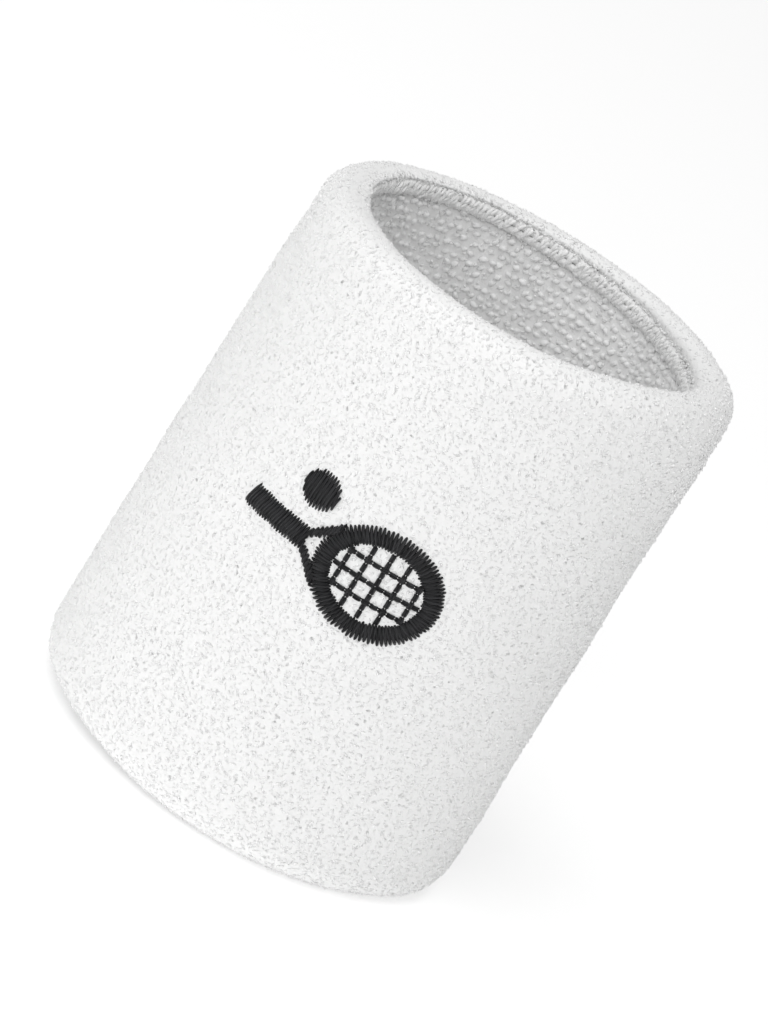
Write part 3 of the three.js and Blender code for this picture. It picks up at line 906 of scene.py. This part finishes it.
def thread_form(thickness, crown, sides=6, bends=6):
    """A thread of unit length along X that rises to its crown at the middle."""
    form = bmesh.new()
    bmesh.ops.create_circle(form, cap_ends=True, segments=sides, radius=thickness / 2)
    bmesh.ops.rotate(form, verts=form.verts, matrix=Matrix.Rotation(math.pi / 2, 3, "Y"))
    bmesh.ops.translate(form, verts=form.verts, vec=(-0.5, 0, 0))
    end = form.faces[:]
    for _ in range(bends):
        made = bmesh.ops.extrude_face_region(form, geom=end)["geom"]
        end = [item for item in made if isinstance(item, bmesh.types.BMFace)]
        moved = [item for item in made if isinstance(item, bmesh.types.BMVert)]
        bmesh.ops.translate(form, verts=moved, vec=(1 / bends, 0, 0))
    for vert in form.verts:
        vert.co.z += crown * (1 - (2 * vert.co.x) ** 4)
    return parts_of(form)


def on_front(points):
    """Lays flat points (round the girth, out of the face, up the band) on the band's front."""
    angle = points[..., 0] / OUTER_RADIUS
    radius = OUTER_RADIUS + points[..., 1]
    return relaxed(np.stack([radius * np.sin(angle), -radius * np.cos(angle), points[..., 2]], axis=-1))


def stitches(name, starts, ends, thread, out, finish, slot, node):
    """Threads from each start to each end on the flat, laid on the band's front."""
    starts, ends = np.asarray(starts), np.asarray(ends)
    middle, span = (starts + ends) / 2, ends - starts
    length = np.linalg.norm(span, axis=1)[:, None]
    heading = span / length
    count = len(starts)
    flat = np.zeros(count)
    places = np.stack([middle[:, 0], flat + out, middle[:, 1]], axis=1)
    along = np.stack([span[:, 0], flat, span[:, 1]], axis=1)
    side = np.stack([-heading[:, 1], flat, heading[:, 0]], axis=1)
    outwards = np.tile([0.0, 1.0, 0.0], (count, 1))
    axes = np.stack([along, side, outwards], axis=2)
    mesh = sown(name, thread, places, axes, random.uniform(0, 1, count), on_front)
    mesh.materials.append(finish)
    return place_piece(name, mesh, slot, node)


def zigzag(one_side, other_side, ragged):
    """Stitches that swing from one side to the other and back, with ragged ends."""
    points = np.where((np.arange(len(one_side)) % 2 == 0)[:, None], one_side, other_side)
    starts, ends = points[:-1].copy(), points[1:].copy()
    along = (ends - starts) / np.linalg.norm(ends - starts, axis=1)[:, None]
    starts -= along * random.uniform(-ragged / 2, ragged, len(starts))[:, None]
    ends += along * random.uniform(-ragged / 2, ragged, len(ends))[:, None]
    return starts, ends


def hoop_column(step, inset):
    centre = np.array(HOOP[:2])
    outer = np.array(HOOP[2:]) - inset
    inner = np.array(HOOP[2:]) - HOOP_WIDTH + inset
    count = round(2 * math.pi * (HOOP[2] + HOOP[3] - HOOP_WIDTH) / 2 / step) // 2 * 2
    angle = np.linspace(0, 2 * math.pi, count + 1)
    ring = np.stack([np.cos(angle), np.sin(angle)], axis=1)
    return centre + ring * inner, centre + ring * outer


def box_column(box, step, inset, slant):
    left, right, low, high = box
    count = round((right - left - 2 * inset) / step)
    arcs = np.linspace(left + inset, right - inset, count)
    below = np.stack([arcs - slant / 2, np.full(count, low + inset)], axis=1)
    above = np.stack([arcs + slant / 2, np.full(count, high - inset)], axis=1)
    return below, above


def throat_column(upper, step, inset):
    side = 1 if upper else -1
    far = THROAT_UPPER[1]
    shoulder = THROAT_UPPER[3] - HOOP[1]
    count = round((far - HANDLE[1]) / step)
    share = np.linspace(0, 1, count)
    arcs = HANDLE[1] + (far - HANDLE[1]) * share
    outer = (HANDLE[3] - HANDLE[2]) / 2 * (1 - share) + shoulder * share - inset
    inner = THROAT_GAP * (1 - share) + shoulder * THROAT_INNER_SHARE * share + inset
    low = np.stack([arcs, HOOP[1] + side * inner], axis=1)
    high = np.stack([arcs, HOOP[1] + side * outer], axis=1)
    return low, high


def ball_column(step, inset):
    radius = BALL[2] - inset
    count = round(2 * radius / step)
    across = np.linspace(-radius * BALL_EDGE, radius * BALL_EDGE, count)
    reach = np.sqrt(radius**2 - across**2)
    low = np.stack([BALL[0] + across, BALL[1] - reach], axis=1)
    high = np.stack([BALL[0] + across, BALL[1] + reach], axis=1)
    return low, high


def string_lines():
    """Each string of the racket as short stitches in a line."""
    half_long, half_tall = HOOP[2] - HOOP_WIDTH, HOOP[3] - HOOP_WIDTH
    starts, ends = [], []
    for reach_in, reach_over, turned in ((half_long, half_tall, False), (half_tall, half_long, True)):
        rows = math.floor(reach_over / STRING_SPACING)
        for row in range(-rows, rows + 1):
            off = row * STRING_SPACING
            reach = reach_in * math.sqrt(max(0, 1 - (off / reach_over) ** 2))
            count = max(2, round(2 * reach / STRING_STITCH))
            marks = np.linspace(-reach, reach, count + 1)
            for strand in (-STRAND_OFF_MIDDLE, STRAND_OFF_MIDDLE):
                for first, second in zip(marks, marks[1:]):
                    pair = [(first, off + strand), (second, off + strand)]
                    pair = [(b, a) if turned else (a, b) for a, b in pair]
                    starts.append((HOOP[0] + pair[0][0], HOOP[1] + pair[0][1]))
                    ends.append((HOOP[0] + pair[1][0], HOOP[1] + pair[1][1]))
    return np.array(starts), np.array(ends)


satin = satin_finish()
satin_thread = thread_form(SATIN_THREAD, SATIN_CROWN)
underlay_thread = thread_form(SATIN_THREAD, UNDERLAY_CROWN, sides=4, bends=3)
string_thread = thread_form(SATIN_THREAD, STRING_CROWN)


def add_satin(name, sides, node):
    stitches(name, *zigzag(*sides, SATIN_RAGGED), satin_thread, SATIN_FOOT, satin, "embroidery_thread", node)


add_satin("racket_hoop_threads", hoop_column(SATIN_STEP, 0), "racket_hoop_stitching")
add_satin("racket_handle_threads", box_column(HANDLE, SATIN_STEP, 0, SATIN_SLANT), "racket_handle_stitching")
add_satin("racket_throat_upper_threads", throat_column(True, SATIN_STEP, 0), "racket_throat_upper_stitching")
add_satin("racket_throat_lower_threads", throat_column(False, SATIN_STEP, 0), "racket_throat_lower_stitching")
add_satin("ball_threads", ball_column(SATIN_STEP, 0), "ball_stitching")
stitches(
    "racket_string_threads",
    *string_lines(),
    string_thread,
    SATIN_FOOT + STRING_LIFT,
    satin,
    "embroidery_thread",
    "racket_string_stitching",
)


def joined_columns(step, inset):
    columns = [
        hoop_column(step, inset),
        box_column(HANDLE, step, inset, 0),
        throat_column(True, step, inset),
        throat_column(False, step, inset),
    ]
    swings = [zigzag(*column, 0) for column in columns]
    starts = np.concatenate([swing[0] for swing in swings])
    ends = np.concatenate([swing[1] for swing in swings])
    return starts, ends


stitches(
    "racket_underlay_threads",
    *joined_columns(UNDERLAY_STEP, UNDERLAY_INSET),
    underlay_thread,
    SATIN_FOOT,
    satin,
    "embroidery_thread",
    "racket_underlay_stitching",
)
stitches(
    "ball_underlay_threads",
    *zigzag(*ball_column(UNDERLAY_STEP, UNDERLAY_INSET), 0),
    underlay_thread,
    SATIN_FOOT,
    satin,
    "embroidery_thread",
    "ball_underlay_stitching",
)

bobbin = bobbin_finish()
bobbin_thread = thread_form(BOBBIN_THREAD, 0, sides=4, bends=3)
stitches(
    "racket_bobbin_stitches",
    *joined_columns(SATIN_STEP * 2, HOOP_WIDTH / 3),
    bobbin_thread,
    BOBBIN_OUT,
    bobbin,
    "bobbin_thread",
    "racket_bobbin_thread",
)
stitches(
    "ball_bobbin_stitches",
    *zigzag(*ball_column(SATIN_STEP * 2, BALL[2] / 3), 0),
    bobbin_thread,
    BOBBIN_OUT,
    bobbin,
    "bobbin_thread",
    "ball_bobbin_thread",
)


# The backing: a thin patch of soft white non-woven behind the outer layer. The embroidery is sewn through
# the cloth and the patch, which holds it there.

BACKING_OUT = -2.6 * MM
BACKING_THICKNESS = 0.2 * MM
BACKING_STEPS = 24


def backing_finish():
    finish = Finish("non_woven_backing", Roughness=0.9, Specular_IOR_Level=0.2)
    fibres = finish.noise(2500, 4)
    finish.colour(finish.blend(fibres, (0.80, 0.80, 0.80, 1), (0.92, 0.92, 0.92, 1)))
    finish.relief(fibres, 0.04 * MM)
    return finish.material


def add_backing():
    left, right, low, high = flat_box("embroidery_backing")
    form = bmesh.new()
    bmesh.ops.create_grid(form, x_segments=BACKING_STEPS, y_segments=BACKING_STEPS, size=0.5)
    bmesh.ops.scale(form, verts=form.verts, vec=(right - left, high - low, 1))
    bmesh.ops.rotate(form, verts=form.verts, matrix=Matrix.Rotation(math.pi / 2, 3, "X"))
    bmesh.ops.translate(form, verts=form.verts, vec=((left + right) / 2, BACKING_OUT, (low + high) / 2))
    points = on_front(np.array([vert.co for vert in form.verts]))
    for vert, point in zip(form.verts, points):
        vert.co = point
    mesh = bpy.data.meshes.new("backing_patch")
    form.to_mesh(mesh)
    form.free()
    mesh.materials.append(backing_finish())
    patch = place_piece("backing_patch", mesh, "backing", "embroidery_backing")
    wall = patch.modifiers.new("thickness", "SOLIDIFY")
    wall.thickness = BACKING_THICKNESS
    wall.offset = 0


add_backing()
